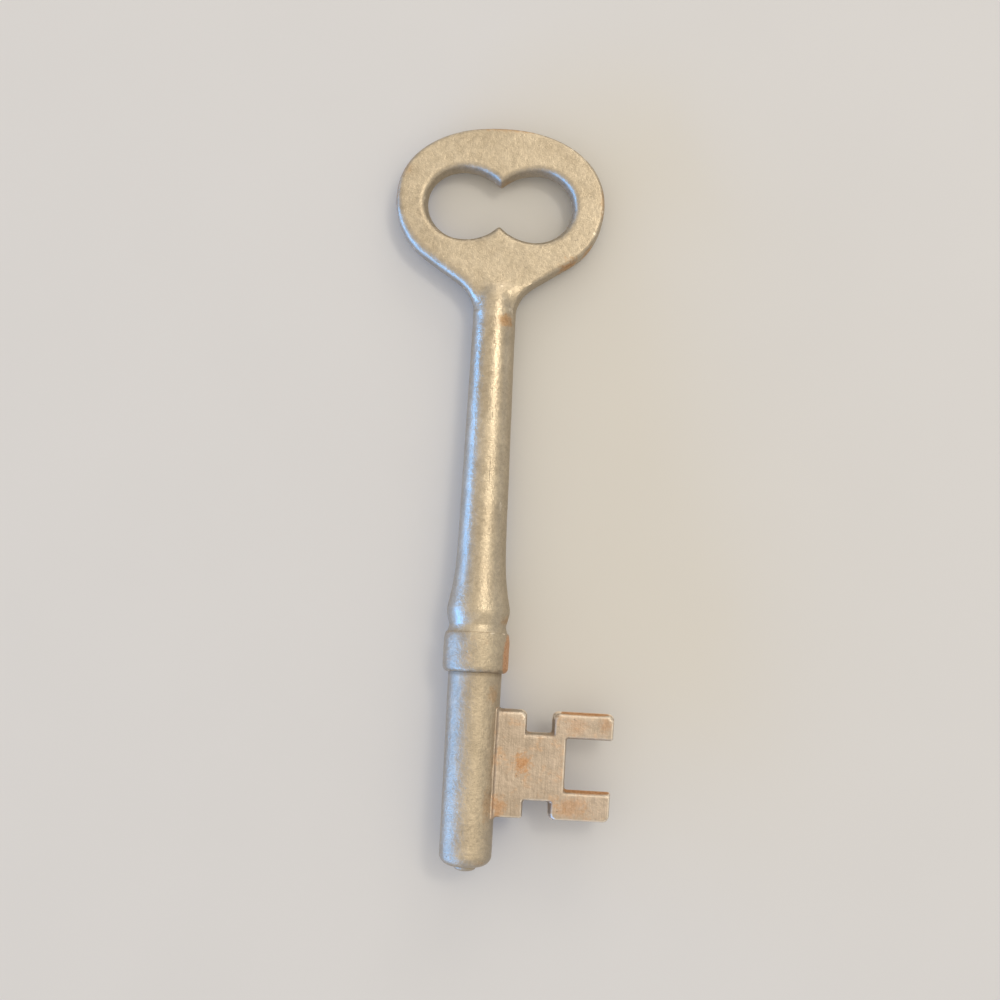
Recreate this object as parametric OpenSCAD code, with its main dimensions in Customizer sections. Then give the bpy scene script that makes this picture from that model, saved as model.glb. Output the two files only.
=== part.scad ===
// Bit key for a mortise lock, in millimetres.
// The key's axis is Y: the bow is at +Y, the tip at -Y, and the bit points to +X.
// The origin is on the axis, at the collar's lower face, where the key stops against the lock.
// Z is square to the bow's flat faces.

/* [Bow] */
// Width of the bow
bow_w = 25.1; // [23:0.1:32]
// Height of the bow's top above its widest line
bow_crown_h = 8.9; // [7:0.1:12]
// Thickness of the bow plate
bow_t = 3; // [2:0.1:4]
// Height above the stem where the flanks run into the neck
foot_h = 2; // [1.5:0.1:5]
// How square the crown is: 2 is an ellipse
crown_power = 2.15; // [2:0.05:2.6]
// Radius of the bow's sides, below the widest line
side_r = 8.3; // [6:0.1:10]
// Slope of the flanks that run down to the neck, in degrees
flank_slope = 33; // [25:1:40]
// Radius of the hollow between flank and neck
neck_fillet_r = 4.6; // [3:0.1:6]
// Radius that breaks the bow's outer edges
bow_edge_r = 0.4; // [0.2:0.05:0.8]

/* [Bow opening] */
// Distance between the middles of the two lobes
lobe_gap = 8.7; // [6:0.1:9]
// Half width of each lobe on its outer side
lobe_out_r = 4.3; // [3:0.05:5]
// Half width of each lobe's drawn-out inner side
lobe_in_r = 5.05; // [4.8:0.05:6.5]
// Height of each lobe
lobe_h = 8; // [6:0.1:9]
// Distance of the lobes' line below the bow's widest line
lobe_drop = 0.3; // [0:0.05:1]
// Width of the rounded tip of the cusps between the lobes
cusp_w = 0.4; // [0.1:0.1:1]
// Draft of the opening's wall, from the middle to a face
wall_draft = 0.4; // [0:0.05:0.6]
// Radius that breaks the opening's edges
wall_edge_r = 0.6; // [0.2:0.05:0.8]

/* [Neck] */
// Length of the round neck under its nose
neck_l = 2.4; // [1.8:0.1:4]
// Length of the nose that dies into the bow's faces
nose_l = 4.3; // [3:0.1:6]

/* [Stem] */
// Length of the stem from collar to neck
stem_l = 36.15; // [25:0.05:60]
// Diameter at the top of the stem
stem_top_d = 5.2; // [4.6:0.05:5.8]
// Diameter of the stem's straight taper, carried down to the bead
stem_low_d = 6.12; // [5.4:0.02:7]
// Diameter where the stem meets the collar
stem_foot_d = 7.3; // [6.9:0.05:7.8]
// Diameter of the groove
groove_d = 6.9; // [6:0.05:7.2]
// Height of the groove above the collar
groove_h = 0.85; // [0.5:0.05:1.5]
// Diameter of the bead
bead_d = 7.66; // [7:0.02:8.4]
// Height of the bead above the collar
bead_h = 2.6; // [2:0.05:4]
// Length over which the bead's swell fades
bead_fade = 1.6; // [1:0.1:2.5]

/* [Collar] */
// Diameter of the collar
collar_d = 8; // [7.5:0.1:10]
// Height of the collar
collar_h = 4.85; // [3:0.05:7]
// Width of the bevel on the collar's lower edge
collar_bevel = 0.75; // [0.2:0.05:1]
// Height of the collar's rounded upper edge
collar_round_h = 1.3; // [0.5:0.1:2]

/* [Post] */
// Diameter of the pilot end, below the bit
pilot_d = 6.4; // [5.4:0.05:6.8]
// How much thicker the post is under the collar
post_flare = 0.08; // [0.04:0.02:0.3]
// Length of the pilot's straight land
pilot_l = 4.4; // [3:0.1:8]
// Gap between the bit's lower edge and the land
pilot_lead = 0.25; // [0.2:0.05:1]
// Height of the rounded end
tip_h = 1.5; // [1:0.1:2.5]
// Diameter of the pip on the end
pip_d = 2.3; // [1.5:0.1:3]
// Height of the pip
pip_h = 0.6; // [0.2:0.05:0.9]

/* [Bit] */
// Distance from the collar to the bit's upper edge
bit_drop = 4.1; // [3:0.05:8]
// Height of the bit along the post
bit_h = 13.2; // [12.5:0.05:16]
// Reach of the bit from the key's axis
bit_reach = 17.1; // [16:0.05:20]
// Thickness of the bit
bit_t = 2.6; // [2:0.1:3.2]
// Draft of the bit's walls, from the middle to a face
bit_draft = 0.15; // [0:0.05:0.35]
// Distance from the axis to the notches
notch_x = 6.6; // [5:0.05:7]
// Width of the notches
notch_w = 3; // [2:0.05:3.5]
// Depth of the upper notch
upper_notch = 2.65; // [1.5:0.05:3.5]
// Depth of the lower notch
lower_notch = 2.2; // [1.5:0.05:3.5]
// Distance from the axis to the end of the slot
slot_x = 11.5; // [11.2:0.05:13]
// Height of the upper prong
upper_prong = 3.3; // [2.4:0.05:4]
// Height of the lower prong
lower_prong = 3.8; // [2.4:0.05:4]
// Radius of the bit's larger corners
bit_corner_r = 0.8; // [0.3:0.05:1]
// Radius of the bit's smaller corners
bit_small_r = 0.3; // [0.1:0.05:0.5]
// Radius that breaks the bit's edges
bit_edge_r = 0.2; // [0.1:0.05:0.3]

/* [Joints] */
// Gap that the braze fills around each spigot and tongue
braze_gap = 0.05; // [0.02:0.01:0.1]
// Diameter of the post's spigot
post_spigot_d = 3.8; // [3:0.1:4.2]
// Length of the post's spigot above the collar
post_spigot_l = 8; // [4:0.5:12]
// Diameter of the stem's spigot
stem_spigot_d = 3; // [2:0.1:3.4]
// Length of the stem's spigot
stem_spigot_l = 4; // [2:0.5:4.5]
// Depth that the bit's tongue is let into the post
tongue_depth = 1.8; // [1:0.1:2.2]

/* [Hidden] */
$fn = 96;

nickel = [0.74, 0.68, 0.58];
nickel_shade = [0.66, 0.6, 0.52];

// Places along the axis
stem_y = collar_h;
neck_y = stem_y + stem_l;
nose_y = neck_y + neck_l;
bit_top_y = -bit_drop;
bit_low_y = -bit_drop - bit_h;
pilot_y = bit_low_y - pilot_lead;
tip_y = pilot_y - pilot_l;

neck_r = stem_top_d / 2;
post_d = pilot_d + post_flare;
end_gap = 4 * braze_gap;

// How far a cutting shape runs past the face it opens
over = 0.2;
// Smallest radius left at a corner
least_r = 0.05;

crown_steps = 14;
side_step = 6;
lobe_steps = 18;
bead_steps = 6;
fade_steps = 12;
// How much closer the steps lie at the bead than at the end of its swell
fade_crowd = 1.5;

// Points of an arc from angle a to angle b
function arc(c, r, a, b, steps) =
    [for (i = [0:steps]) c + r * [cos(a + (b - a) * i / steps), sin(a + (b - a) * i / steps)]];

function unit(v) = v / norm(v);
function smooth(t) = let (s = min(1, max(0, t))) s * s * (3 - 2 * s);

// Twice the signed area of a triangle
function turn_of(a, b, c) = (b[0] - a[0]) * (c[1] - a[1]) - (b[1] - a[1]) * (c[0] - a[0]);

// Whether the corner k of an anticlockwise outline can be cut off as a triangle
function is_ear(pts, left, k) =
    let (
        n = len(left),
        a = pts[left[(k + n - 1) % n]],
        b = pts[left[k]],
        c = pts[left[(k + 1) % n]]
    )
    turn_of(a, b, c) > 0 && len([
        for (j = left)
            let (p = pts[j])
            if (p != a && p != b && p != c
                && turn_of(a, b, p) >= 0 && turn_of(b, c, p) >= 0 && turn_of(c, a, p) >= 0) j
    ]) == 0;

function find_ear(pts, left, k) = k >= len(left) || is_ear(pts, left, k) ? k : find_ear(pts, left, k + 1);

// Triangles that fill an anticlockwise outline, as indices of its points
function fill(pts, left) =
    let (n = len(left), k = find_ear(pts, left, 0) % n)
    n == 3 ? [left] : concat(
        [[left[(k + n - 1) % n], left[k], left[(k + 1) % n]]],
        fill(pts, [for (i = [1:n - 1]) left[(k + i) % n]])
    );

// The solid between stacked anticlockwise loops of equal length, with a flat face below and above
module stack(loops) {
    n = len(loops[0]);
    m = len(loops);
    sides = [for (k = [0:m - 2], i = [0:n - 1])
        each [[k * n + i, (k + 1) * n + i, (k + 1) * n + (i + 1) % n],
              [k * n + i, (k + 1) * n + (i + 1) % n, k * n + (i + 1) % n]]];
    cap = fill(loops[0], [for (i = [0:n - 1]) i]);
    top = (m - 1) * n;
    polyhedron(
        points = [for (loop = loops) each loop],
        faces = concat(sides, cap, [for (t = cap) [top + t[2], top + t[1], top + t[0]]]),
        convexity = 6
    );
}

// Right half of the bow's outline, from the foot in the neck to the top of the crown
plate_neck_r = neck_r - braze_gap;
plate_foot_depth = 0.8;
plate_foot_y = neck_y + min(foot_h, neck_l) - plate_foot_depth;
side_x = bow_w / 2 - side_r;
flank_n = [sin(flank_slope), -cos(flank_slope)];
fillet_c = [plate_neck_r + neck_fillet_r, neck_y + foot_h];
flank_rise = tan(flank_slope) * (side_x + (side_r + neck_fillet_r) * flank_n[0] - fillet_c[0]);
bow_mid_y = fillet_c[1] + flank_rise - (side_r + neck_fillet_r) * flank_n[1];
lobe_y = bow_mid_y - lobe_drop;

function crown_point(a) =
    [bow_w / 2 * pow(cos(a), 2 / crown_power), bow_mid_y + bow_crown_h * pow(sin(a), 2 / crown_power)];

half_outline = concat(
    [[plate_neck_r / 2, plate_foot_y], [plate_neck_r, plate_foot_y + bow_edge_r]],
    arc(fillet_c, neck_fillet_r, 180, 90 + flank_slope, 8),
    arc([side_x, bow_mid_y], side_r, flank_slope - 90, -side_step, 9),
    [for (i = [0:crown_steps - 1]) crown_point(90 * i / crown_steps)]
);
crown_top = [0, bow_mid_y + bow_crown_h];
plate_outline = concat(
    half_outline,
    [crown_top],
    [for (i = [len(half_outline) - 1:-1:0]) [-half_outline[i][0], half_outline[i][1]]]
);

// Outward direction at a point of a loop
function outward(loop, i) =
    let (n = len(loop), t = unit(loop[(i + 1) % n] - loop[(i + n - 1) % n])) [t[1], -t[0]];

// The edge grows fully round towards the neck, so that plate and neck run into each other
full_r = bow_t / 2 - least_r;
round_start = fillet_c[1] + neck_r;
round_end = fillet_c[1];
function edge_r(y) =
    bow_edge_r + (full_r - bow_edge_r) * smooth((round_start - y) / (round_start - round_end));

// One loop of the plate's rounded rim: side is 1 above and -1 below,
// and a runs from 0 at the wall to 90 on the face
function plate_loop(side, a) = [
    for (i = [0:len(plate_outline) - 1])
        let (p = plate_outline[i], r = edge_r(p[1]), q = p - r * (1 - cos(a)) * outward(plate_outline, i))
        [q[0], q[1], side * (bow_t / 2 - r + r * sin(a))]
];

// One lobe of the opening, grown by d, from the lower cusp round the outside to the upper cusp.
// The lobe stops short of the middle line, and its inner side is drawn over to it, which rounds the cusps
function lobe(d) =
    let (
        c = lobe_gap / 2,
        short = cusp_w / 2,
        ai = lobe_in_r + d,
        ao = lobe_out_r + d,
        b = lobe_h / 2 + d,
        cusp = acos((short - c) / ai)
    )
    [for (i = [-lobe_steps:lobe_steps])
        let (t = cusp * i / lobe_steps, x = c + (cos(t) < 0 ? ai : ao) * cos(t))
        [cos(t) < 0 ? sqrt(max(0, x * x - short * short)) : x, lobe_y + b * sin(t)]];

function opening_loop(d, z) =
    let (right = lobe(d), n = len(right))
    concat(
        [for (p = right) [p[0], p[1], z]],
        [for (i = [n - 2:-1:1]) [-right[i][0], right[i][1], z]]
    );

// Growth of the opening at a height, from its draft and its broken edge
function opening_level(side, a) =
    let (z = bow_t / 2 - wall_edge_r * (1 - sin(a)))
    opening_loop(wall_draft * z / (bow_t / 2) + wall_edge_r * (1 - cos(a)), side * z);
opening_face = wall_draft + wall_edge_r;

module plate() {
    difference() {
        stack(concat(
            [for (a = [90:-30:0]) plate_loop(-1, a)],
            [for (a = [0:30:90]) plate_loop(1, a)]
        ));
        stack(concat(
            [opening_loop(opening_face, -bow_t / 2 - over)],
            [for (a = [90:-30:0]) opening_level(-1, a)],
            [opening_loop(0, 0)],
            [for (a = [0:30:90]) opening_level(1, a)],
            [opening_loop(opening_face, bow_t / 2 + over)]
        ));
    }
}

// Turned shape from a profile of radius and place along the axis
module turned(profile) {
    rotate([-90, 0, 0])
        rotate_extrude()
            polygon(profile);
}

module bow() {
    color(nickel)
        difference() {
            union() {
                plate();
                turned(concat(
                    [[0, neck_y], [neck_r, neck_y]],
                    [for (a = [0:9:90]) [neck_r * cos(a), nose_y + nose_l * sin(a)]]
                ));
            }
            turned([
                [0, neck_y - over],
                [stem_spigot_d / 2 + braze_gap, neck_y - over],
                [stem_spigot_d / 2 + braze_gap, neck_y + stem_spigot_l + end_gap],
                [0, neck_y + stem_spigot_l + end_gap]
            ]);
        }
}

// Radius of the stem at a height above the collar, from the bead upwards
bead_swell = (bead_d - stem_low_d) / 2;
function stem_r(h) =
    let (s = (h - bead_h) / (stem_l - bead_h), u = (h - bead_h) / bead_fade)
    stem_low_d / 2 * (1 - s) + stem_top_d / 2 * s + bead_swell * (1 + u) * exp(-u) * (1 - s);

fade_end = bead_h + 9 * bead_fade;
swell_h = bead_h - groove_h;
stem_profile = concat(
    [[0, 0], [stem_foot_d / 2, 0]],
    [for (i = [1:bead_steps])
        let (s = i / bead_steps)
        [groove_d / 2 + (stem_foot_d - groove_d) / 2 * (1 - s) * (1 - s), groove_h * s]],
    [for (i = [1:bead_steps])
        let (s = i / bead_steps)
        [groove_d / 2 + (bead_d - groove_d) / 2 * smooth(s), groove_h + swell_h * s]],
    [for (i = [1:fade_steps])
        let (h = bead_h + (fade_end - bead_h) * pow(i / fade_steps, fade_crowd))
        [stem_r(h), h]],
    [[stem_top_d / 2, stem_l],
     [stem_spigot_d / 2, stem_l],
     [stem_spigot_d / 2, stem_l + stem_spigot_l],
     [0, stem_l + stem_spigot_l]]
);

module stem() {
    color(nickel)
        translate([0, stem_y, 0])
            difference() {
                turned(stem_profile);
                turned([
                    [0, -over],
                    [post_spigot_d / 2 + braze_gap, -over],
                    [post_spigot_d / 2 + braze_gap, post_spigot_l + end_gap],
                    [0, post_spigot_l + end_gap]
                ]);
            }
}

module collar() {
    r = collar_d / 2;
    top_in = (collar_d - stem_foot_d) / 2;
    bore_r = post_spigot_d / 2 + braze_gap;
    color(nickel_shade)
        turned(concat(
            [[bore_r, 0], [r - collar_bevel, 0]],
            [for (a = [0:15:90]) [r - collar_bevel + collar_bevel * sin(a), collar_bevel * (1 - cos(a))]],
            [for (a = [0:15:90])
                [r - top_in + top_in * cos(a), collar_h - collar_round_h + collar_round_h * sin(a)]],
            [[bore_r, collar_h]]
        ));
}

module post() {
    spigot_r = post_spigot_d / 2;
    tip_in = pilot_d / 2 - pip_d / 2;
    tongue_x = pilot_d / 2 - tongue_depth;
    color(nickel)
        difference() {
            turned(concat(
                [[0, collar_h + post_spigot_l],
                 [spigot_r, collar_h + post_spigot_l],
                 [spigot_r, 0],
                 [post_d / 2, 0],
                 [pilot_d / 2, pilot_y]],
                [for (a = [0:10:90]) [pip_d / 2 + tip_in * cos(a), tip_y - tip_h * sin(a)]],
                [for (a = [15:15:90]) [pip_d / 2 * cos(a), tip_y - tip_h - pip_h * sin(a)]]
            ));
            translate([tongue_x, bit_low_y - braze_gap, -bit_t / 2 - braze_gap])
                cube([post_d, bit_h + 2 * braze_gap, bit_t + 2 * braze_gap]);
        }
}

// Points that round one corner of an outline whose edges have been moved in by d.
// The radius changes by bend, as the edge's own rounding asks
function corner(prev, here, next, r, d, bend) =
    let (
        u = unit(here - prev),
        v = unit(next - here),
        turn = u[0] * v[1] - u[1] * v[0],
        nu = [-u[1], u[0]],
        nv = [-v[1], v[0]],
        moved = here + d * (nu + nv) / (1 + nu * nv),
        keep = max(least_r, turn > 0 ? r - bend : r + bend),
        half = atan2(abs(turn), 1 + u * v),
        back = keep * tan(half),
        c = moved - back * u + (turn > 0 ? keep : -keep) * nu,
        start = moved - back * u - c,
        from = atan2(start[1], start[0]),
        steps = 4
    )
    [for (i = [0:steps])
        let (a = from + (turn > 0 ? 2 : -2) * half * i / steps)
        c + keep * [cos(a), sin(a)]];

// Corners of the bit, anticlockwise from the foot of its tongue: x, y and radius
bit_corners = let (
    x0 = pilot_d / 2 - tongue_depth,
    x1 = notch_x,
    x2 = notch_x + notch_w,
    x3 = slot_x,
    x4 = bit_reach,
    low = bit_low_y,
    top = bit_top_y,
    s = bit_small_r,
    b = bit_corner_r
) [
    [x0, low, s],
    [x1, low, s],
    [x1, low + lower_notch, s],
    [x2, low + lower_notch, s],
    [x2, low, b],
    [x4, low, b],
    [x4, low + lower_prong, s],
    [x3, low + lower_prong, s],
    [x3, top - upper_prong, s],
    [x4, top - upper_prong, s],
    [x4, top, b],
    [x2, top, b],
    [x2, top - upper_notch, s],
    [x1, top - upper_notch, s],
    [x1, top, b],
    [x0, top, s]
];

function bit_loop(d, bend, z) =
    let (n = len(bit_corners))
    [for (i = [0:n - 1])
        let (
            a = bit_corners[(i + n - 1) % n],
            b = bit_corners[i],
            c = bit_corners[(i + 1) % n]
        )
        for (p = corner([a[0], a[1]], [b[0], b[1]], [c[0], c[1]], b[2], d, bend)) [p[0], p[1], z]];

// The bit's outline at a height, moved in by its draft and its broken edge
function bit_level(side, a) =
    let (z = bit_t / 2 - bit_edge_r * (1 - sin(a)), bend = bit_edge_r * (1 - cos(a)))
    bit_loop(bit_draft * z / (bit_t / 2) + bend, bend, side * z);

module bit() {
    color(nickel_shade)
        stack(concat(
            [for (a = [90:-30:0]) bit_level(-1, a)],
            [bit_loop(0, 0, 0)],
            [for (a = [0:30:90]) bit_level(1, a)]
        ));
}

bow();
stem();
collar();
post();
bit();
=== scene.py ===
"""Looks of a mortise-lock bit key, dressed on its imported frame.

Sizes are written in millimetres, as a maker gives them. Each finished mesh is scaled to metres
once, with its place in its vertices, so every piece shares the frame of the CAD nodes.
"""

import logging
import math
from abc import ABC, abstractmethod
from dataclasses import dataclass, field
from enum import Enum
from typing import Callable, Iterable, Sequence

import bmesh
import bpy
from mathutils import Matrix, Vector, noise


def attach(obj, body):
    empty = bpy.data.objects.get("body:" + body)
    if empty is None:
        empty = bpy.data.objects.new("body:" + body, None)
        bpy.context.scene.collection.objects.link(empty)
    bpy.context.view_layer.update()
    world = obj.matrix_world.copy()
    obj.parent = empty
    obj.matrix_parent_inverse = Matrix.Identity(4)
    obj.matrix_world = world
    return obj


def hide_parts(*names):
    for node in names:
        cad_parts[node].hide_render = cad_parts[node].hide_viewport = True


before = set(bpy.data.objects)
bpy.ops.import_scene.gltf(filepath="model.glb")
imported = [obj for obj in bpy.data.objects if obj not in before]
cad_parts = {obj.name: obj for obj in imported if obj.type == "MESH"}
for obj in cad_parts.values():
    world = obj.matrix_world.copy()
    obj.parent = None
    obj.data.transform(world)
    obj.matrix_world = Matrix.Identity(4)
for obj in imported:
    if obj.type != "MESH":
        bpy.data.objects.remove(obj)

LOG = logging.getLogger("key")
MM = 0.001
TO_MM = (1000.0, 1000.0, 1000.0)

# Steps of a rounded edge in degrees, from the wall to the face
EDGE_ANGLES = (0.0, 22.5, 45.0, 67.5, 90.0)

Pair = tuple[float, float]
Triple = tuple[float, float, float]


# Shaping helpers


def ease(low: float, high: float, value: float) -> float:
    """Return a smooth step from 0 at low to 1 at high.

    Args:
        low: Where the step starts.
        high: Where the step ends; it may lie below low.
        value: The place to read.

    Returns:
        The share of the step, from 0 to 1.
    """
    t = min(1.0, max(0.0, (value - low) / (high - low)))
    return t * t * (3.0 - 2.0 * t)


def waviness(at: Vector, pitch: float, seed: float) -> float:
    """Return a smooth pseudo-random height between -1 and 1.

    Args:
        at: Place in millimetres.
        pitch: Distance between hills, in millimetres.
        seed: Shifts the pattern, so that two pieces differ.

    Returns:
        The height of the pattern there.
    """
    return noise.noise(at / pitch + Vector((seed, -seed, 0.5 * seed)))


def scrap(*roughs: bpy.types.Object) -> None:
    """Throw objects away with their meshes.

    Args:
        roughs: Objects that were only needed on the way to a piece.
    """
    for rough in roughs:
        mesh = rough.data
        bpy.data.objects.remove(rough)
        bpy.data.meshes.remove(mesh)


@dataclass(frozen=True)
class Waves:
    """The gentle unevenness of a cast or worn skin.

    Attributes:
        layers: Height, pitch and seed of each pattern of hills, with lengths in millimetres.
        sink: How far the whole skin lies in, so that no hill stands out of the piece's true size.
    """

    layers: tuple[Triple, ...]
    sink: float

    def height(self, at: Vector) -> float:
        """Return how far the skin stands out at a place; below 0 it lies in."""
        return sum(high * waviness(at, pitch, seed) for high, pitch, seed in self.layers) - self.sink


class Outline:
    """A flat outline that is drawn point by point, as a draughtsman would."""

    def __init__(self, start: Pair) -> None:
        """Start at a point."""
        self.points: list[Pair] = [start]

    def line(self, to: Pair) -> "Outline":
        """Draw a straight line and return the outline."""
        self.points.append(to)
        return self

    def arc(self, centre: Pair, radius: Pair, start: float, end: float, steps: int) -> "Outline":
        """Draw an elliptic arc.

        Args:
            centre: Middle of the ellipse.
            radius: Its two half axes.
            start: First angle, in degrees.
            end: Last angle, in degrees.
            steps: Number of pieces that the arc is drawn in.

        Returns:
            The outline.
        """
        for i in range(steps + 1):
            a = math.radians(start + (end - start) * i / steps)
            self.points.append((centre[0] + radius[0] * math.cos(a), centre[1] + radius[1] * math.sin(a)))
        return self

    def curve(self, rule: Callable[[float], Pair], steps: int) -> "Outline":
        """Draw a curve, by a rule that gives a point for each share from 0 to 1, and return the outline."""
        self.points.extend(rule(i / steps) for i in range(1, steps + 1))
        return self

    def spread(self, count: int) -> list[Pair]:
        """Return points at even distances along the outline.

        Args:
            count: Number of pieces between the first and the last point.

        Returns:
            count + 1 points.
        """
        reach = [0.0]
        for a, b in zip(self.points, self.points[1:]):
            reach.append(reach[-1] + math.dist(a, b))
        spread = []
        k = 0
        for i in range(count + 1):
            want = reach[-1] * i / count
            while k < len(reach) - 2 and reach[k + 1] < want:
                k += 1
            span = reach[k + 1] - reach[k]
            t = (want - reach[k]) / span if span else 0.0
            a, b = self.points[k], self.points[k + 1]
            spread.append((a[0] + (b[0] - a[0]) * t, a[1] + (b[1] - a[1]) * t))
        return spread


class Blank:
    """A workpiece: a bmesh in millimetres that is shaped and then made one finished piece."""

    def __init__(self) -> None:
        """Start with nothing on the bench."""
        self.bm = bmesh.new()

    def skin(self, rings: Sequence[Sequence[Triple]]) -> None:
        """Stretch a skin over rings that lie one after another.

        Args:
            rings: Places in millimetres, the same number in each ring.
        """
        loop = bmesh.ops.create_circle(self.bm, cap_ends=False, segments=len(rings[0]), radius=1.0)["verts"]
        for vert, place in zip(loop, rings[0]):
            vert.co = place
        for ring in rings[1:]:
            edges = [self.bm.edges.get((a, b)) for a, b in zip(loop, loop[1:] + loop[:1])]
            made = set(bmesh.ops.extrude_edge_only(self.bm, edges=edges)["geom"])
            loop = [next(e.other_vert(v) for e in v.link_edges if e.other_vert(v) in made) for v in loop]
            for vert, place in zip(loop, ring):
                vert.co = place

    def turn(self, profile: Iterable[Pair], steps: int) -> None:
        """Turn a profile round the key's axis.

        Args:
            profile: Radius and place along the axis of each point.
            steps: Number of sides of the full turn.
        """
        verts = [self.bm.verts.new((radius, along, 0.0)) for radius, along in profile]
        edges = [self.bm.edges.new(pair) for pair in zip(verts, verts[1:])]
        bmesh.ops.spin(
            self.bm,
            geom=verts + edges,
            cent=(0.0, 0.0, 0.0),
            axis=(0.0, 1.0, 0.0),
            dvec=(0.0, 0.0, 0.0),
            angle=2.0 * math.pi,
            steps=steps,
            use_merge=True,
            use_normal_flip=False,
            use_duplicate=False,
        )
        self.close_up()

    def close_up(self, gap: float = 1e-4) -> None:
        """Merge doubled points and turn every face outwards.

        Args:
            gap: Points nearer than this, in millimetres, become one.
        """
        bmesh.ops.remove_doubles(self.bm, verts=self.bm.verts[:], dist=gap)
        bmesh.ops.dissolve_degenerate(self.bm, dist=gap * 0.1, edges=self.bm.edges[:])
        bmesh.ops.recalc_face_normals(self.bm, faces=self.bm.faces[:])

    def cut_lines(self, axis: int, places: Iterable[float]) -> None:
        """Score the faces along planes, so that they can be bent there.

        Args:
            axis: 0, 1 or 2 for planes square to x, y or z.
            places: Where each plane crosses the axis, in millimetres.
        """
        normal = Vector((0.0, 0.0, 0.0))
        normal[axis] = 1.0
        for place in places:
            bmesh.ops.bisect_plane(
                self.bm,
                geom=self.bm.verts[:] + self.bm.edges[:] + self.bm.faces[:],
                dist=1e-5,
                plane_co=normal * place,
                plane_no=normal,
                clear_inner=False,
                clear_outer=False,
            )

    def saw_off(self, place: float) -> None:
        """Saw off the lower end, and close the cut with a flat face.

        Args:
            place: Where the saw crosses the key's axis, in millimetres.
        """
        bmesh.ops.bisect_plane(
            self.bm,
            geom=self.bm.verts[:] + self.bm.edges[:] + self.bm.faces[:],
            dist=1e-5,
            plane_co=(0.0, place, 0.0),
            plane_no=(0.0, 1.0, 0.0),
            clear_inner=True,
            clear_outer=False,
        )
        rim = [e for e in self.bm.edges if e.is_boundary]
        bmesh.ops.holes_fill(self.bm, edges=rim, sides=0)

    def swell(self, rule: Callable[[Vector, Vector], float]) -> None:
        """Move each point along its normal.

        Args:
            rule: Gives the distance in millimetres from a point's place and its normal.
        """
        self.bm.normal_update()
        moves = [(v, v.normal.copy() * rule(v.co, v.normal)) for v in self.bm.verts]
        for vert, move in moves:
            vert.co += move

    def rub(self, times: int, chosen: Callable[[Vector], bool], factor: float = 0.5) -> None:
        """Rub edges softer.

        Args:
            times: Number of strokes.
            chosen: Says for a place whether it is rubbed.
            factor: How far each stroke goes.
        """
        verts = [v for v in self.bm.verts if chosen(v.co)]
        for _ in range(times):
            bmesh.ops.smooth_vert(
                self.bm, verts=verts, factor=factor, use_axis_x=True, use_axis_y=True, use_axis_z=True
            )

    def lay_out(self, name: str) -> bpy.types.Object:
        """Put a copy of the workpiece into the scene.

        Args:
            name: Name of the object and its mesh.

        Returns:
            The object.
        """
        mesh = bpy.data.meshes.new(name)
        self.bm.to_mesh(mesh)
        made = bpy.data.objects.new(name, mesh)
        bpy.context.scene.collection.objects.link(made)
        return made

    def take_back(self, rough: bpy.types.Object) -> None:
        """Take the shape that a laid-out copy has with its modifiers applied.

        Args:
            rough: The copy.
        """
        depsgraph = bpy.context.evaluated_depsgraph_get()
        skin = bpy.data.meshes.new_from_object(rough.evaluated_get(depsgraph))
        self.bm.clear()
        self.bm.from_mesh(skin)
        bpy.data.meshes.remove(skin)

    def remesh(self, voxel: float) -> None:
        """Cast all shells on the bench into one skin.

        Args:
            voxel: Size of the grid, in millimetres.
        """
        rough = self.lay_out("casting")
        modifier = rough.modifiers.new("cast", "REMESH")
        modifier.mode = "VOXEL"
        modifier.voxel_size = voxel
        modifier.adaptivity = 0.0
        self.take_back(rough)
        scrap(rough)

    def cut_away(self, cutter: "Blank") -> None:
        """Cut another workpiece's shape out of this one, and use the other up.

        Args:
            cutter: The shape to cut away.
        """
        rough = self.lay_out("rough")
        tool = cutter.lay_out("cutter")
        modifier = rough.modifiers.new("cut", "BOOLEAN")
        modifier.operation = "DIFFERENCE"
        modifier.solver = "EXACT"
        modifier.object = tool
        self.take_back(rough)
        cutter.bm.free()
        scrap(rough, tool)

    def finish(self, name: str, sharp: float = 38.0) -> bpy.types.Object:
        """Make the piece.

        Args:
            name: Name of the object.
            sharp: Angle in degrees above which an edge is shaded as a sharp one.

        Returns:
            The piece, with its place in its mesh.
        """
        bmesh.ops.transform(self.bm, matrix=Matrix.Scale(MM, 4), verts=self.bm.verts[:])
        piece = self.lay_out(name)
        self.bm.free()
        piece.data.shade_smooth()
        piece.data.set_sharp_from_angle(angle=math.radians(sharp))
        return piece


# Finishes


@dataclass(frozen=True)
class Clouds:
    """A cloudy pattern of a skin.

    Attributes:
        density: Hills to the millimetre.
        detail: Number of finer layers.
        rough: Weight of the finer layers.
        contrast: The values that become 0 and 1, or nothing where the pattern stays as soft as it is.
    """

    density: float
    detail: float
    rough: float = 0.5
    contrast: Pair | None = None


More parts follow.
